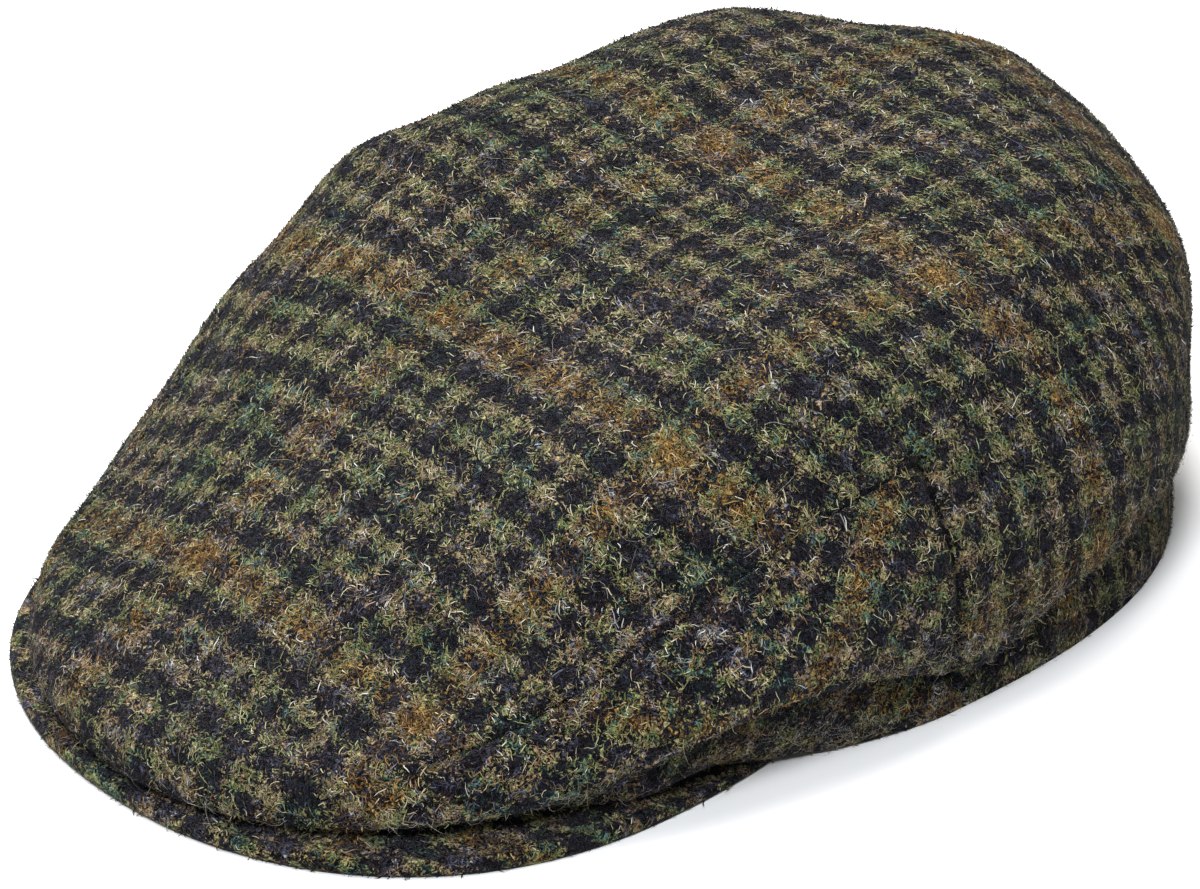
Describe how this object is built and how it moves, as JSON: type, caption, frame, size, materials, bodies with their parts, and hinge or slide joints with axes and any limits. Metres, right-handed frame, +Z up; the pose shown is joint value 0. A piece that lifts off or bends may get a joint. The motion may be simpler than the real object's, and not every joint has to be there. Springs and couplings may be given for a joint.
{
  "type": "flat cap",
  "caption": "Flat cap in checked tweed with a rounded crown folded over the hem, a side panel over each ear and a short stiff peak.",
  "frame": {"origin": "on the ground that the cap lies on, under the middle of its length and width", "axes": "+Z up through the crown, -Y towards the front of the peak, +X towards the wearer's left"},
  "size_m": [0.1992, 0.2748, 0.0909],
  "materials": {
    "crown_tweed": "soft brushed wool tweed in a small dark navy and olive check, with a rust windowpane every eight checks and stray pale fibres",
    "peak_tweed": "the same wool tweed drawn over a stiff board"
  },
  "bodies": {
    "root": {"top_panel": "crown_tweed", "side_panel_left": "crown_tweed", "side_panel_right": "crown_tweed", "peak": "peak_tweed"}
  },
  "joints": []
}
